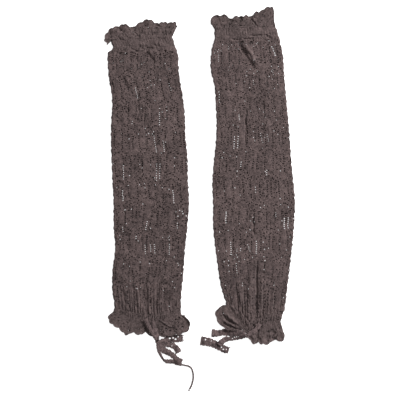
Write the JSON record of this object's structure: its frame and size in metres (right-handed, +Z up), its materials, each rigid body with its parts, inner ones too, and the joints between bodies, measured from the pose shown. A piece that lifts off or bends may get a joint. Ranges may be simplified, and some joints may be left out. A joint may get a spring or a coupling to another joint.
{
  "type": "pair of lace-knit leg warmers with crocheted ankle ties",
  "caption": "Pair of lace-knit leg warmers laid flat: each a wavy ruffle, a ribbed band, a long openwork tube and an ankle ruffle gathered by a crocheted tie.",
  "frame": {"origin": "under the middle of the pair, in the plane it lies on; the loose yarn tail and its knot don't count", "axes": "+Z up from the surface the pair lies on; +Y from the ankles to the tops; +X to the viewer's right when the ankles are nearest"},
  "size_m": [0.3231, 0.6519, 0.012],
  "materials": {
    "taupe_knit": "matt, soft wool-like knit",
    "taupe_tie": "matt crocheted yarn"
  },
  "bodies": {
    "root": {"left_top_ruffle": "taupe_knit", "left_top_rib_band": "taupe_knit", "left_lace_tube": "taupe_knit", "left_ankle_rib_band": "taupe_knit", "left_ankle_ruffle": "taupe_knit", "right_top_ruffle": "taupe_knit", "right_top_rib_band": "taupe_knit", "right_lace_tube": "taupe_knit", "right_ankle_rib_band": "taupe_knit", "right_ankle_ruffle": "taupe_knit", "left_tie_strand_outer": "taupe_tie", "left_tie_strand_inner": "taupe_tie", "left_tie_knot": "taupe_tie", "left_tie_end_upper": "taupe_tie", "left_tie_end_middle": "taupe_tie", "left_tie_end_lower": "taupe_tie", "left_tie_end_narrow": "taupe_tie", "left_yarn_tail": "taupe_tie", "left_yarn_tail_knot": "taupe_tie", "right_tie_strand": "taupe_tie", "right_tie_knot": "taupe_tie", "right_tie_end_plain": "taupe_tie", "right_tie_end_open": "taupe_tie", "right_tie_crossbar": "taupe_tie"}
  },
  "joints": []
}
